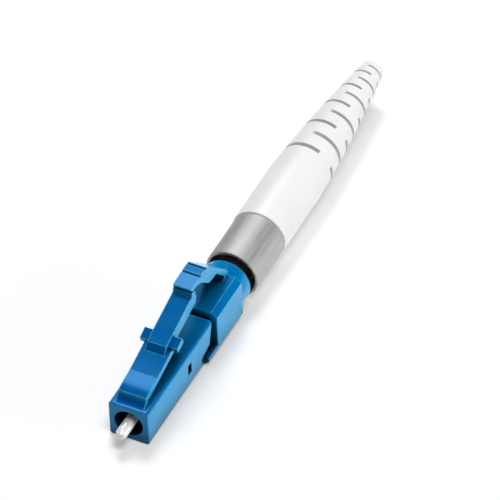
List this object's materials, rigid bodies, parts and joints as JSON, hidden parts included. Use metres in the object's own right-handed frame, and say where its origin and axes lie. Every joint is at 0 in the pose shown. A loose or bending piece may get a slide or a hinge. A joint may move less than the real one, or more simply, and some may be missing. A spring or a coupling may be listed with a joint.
{
  "type": "lc fibre connector",
  "caption": "Simplex fibre connector: square blue housing with latch and trigger, white ceramic ferrule, grey crimp sleeve and a white slotted strain relief boot.",
  "frame": {"origin": "on the fibre axis, in the plane of the front housing's front face", "axes": "+Y along the fibre axis from the ferrule towards the boot's tip, +Z towards the latch"},
  "size_m": [0.0062, 0.0608, 0.0112],
  "materials": {
    "housing_blue": "gloss",
    "ferrule_ceramic": "polished",
    "flange_metal": "satin",
    "tube_plastic": "matte",
    "spring_steel": "satin",
    "crimp_body_metal": "satin",
    "sleeve_metal": "satin",
    "boot_white": "matte"
  },
  "bodies": {
    "plug": {"front_housing": "housing_blue", "rear_housing": "housing_blue", "crimp_body": "crimp_body_metal", "crimp_sleeve": "sleeve_metal", "boot": "boot_white", "spring": "spring_steel"},
    "latch": {"latch_lever": "housing_blue"},
    "trigger": {"trigger_lever": "housing_blue"},
    "ferrule_set": {"ferrule": "ferrule_ceramic", "ferrule_flange": "flange_metal", "fibre_tube": "tube_plastic"}
  },
  "joints": [
    {"name": "trigger_press", "type": "hinge", "parent": "plug", "child": "trigger", "pos_m": [0, 0.0205, 0.00372], "axis": [1, 0, 0], "range_deg": [0, 17], "stiffness_Nm_per_rad": 0.005},
    {"name": "latch_flex", "type": "hinge", "parent": "plug", "child": "latch", "pos_m": [0, 0.0019, 0.00304], "axis": [-1, 0, 0], "range_deg": [0, 10.5], "stiffness_Nm_per_rad": 0.005},
    {"name": "ferrule_float", "type": "slide", "parent": "plug", "child": "ferrule_set", "axis": [0, 1, 0], "range_m": [0, 0.0009], "stiffness_N_per_m": 1200, "deforming": ["spring"]}
  ],
  "couplings": [
    {"joint": "latch_flex", "follows": "trigger_press", "ratio": 0.6176}
  ]
}
